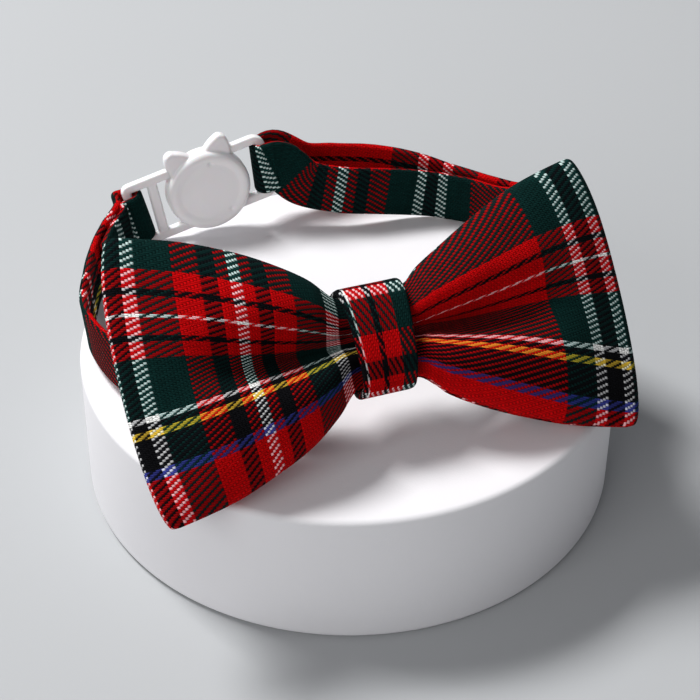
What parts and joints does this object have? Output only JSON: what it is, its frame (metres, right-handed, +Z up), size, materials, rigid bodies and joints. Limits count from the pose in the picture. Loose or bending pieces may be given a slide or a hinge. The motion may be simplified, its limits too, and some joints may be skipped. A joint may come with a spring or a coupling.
{
  "type": "pet bow tie collar on a round display stand",
  "caption": "Adjustable pet collar strap with a breakaway buckle, a slide and a fabric bow, standing on a plain round display stand.",
  "frame": {"origin": "centre of the display stand's base, on the surface that it stands on", "axes": "+Z up, -Y towards the viewer of the bow, +X to the right along the bow"},
  "size_m": [0.0963, 0.0974, 0.0612],
  "materials": {
    "stand": "plain matt white",
    "strap_cloth": "tartan twill, red and dark green with white, yellow and black lines",
    "bow_cloth": "tartan twill, red and dark green with white, yellow, blue and black lines",
    "band_cloth": "tartan twill turned a quarter, red with dark green and white lines",
    "white_plastic": "moulded white plastic, softly glossy"
  },
  "bodies": {
    "root": {"display_stand": "stand", "strap": "strap_cloth", "buckle_frame": "white_plastic", "buckle_head": "white_plastic", "slide_adjuster": "white_plastic", "bow_wings": "bow_cloth", "bow_band": "band_cloth"}
  },
  "joints": []
}
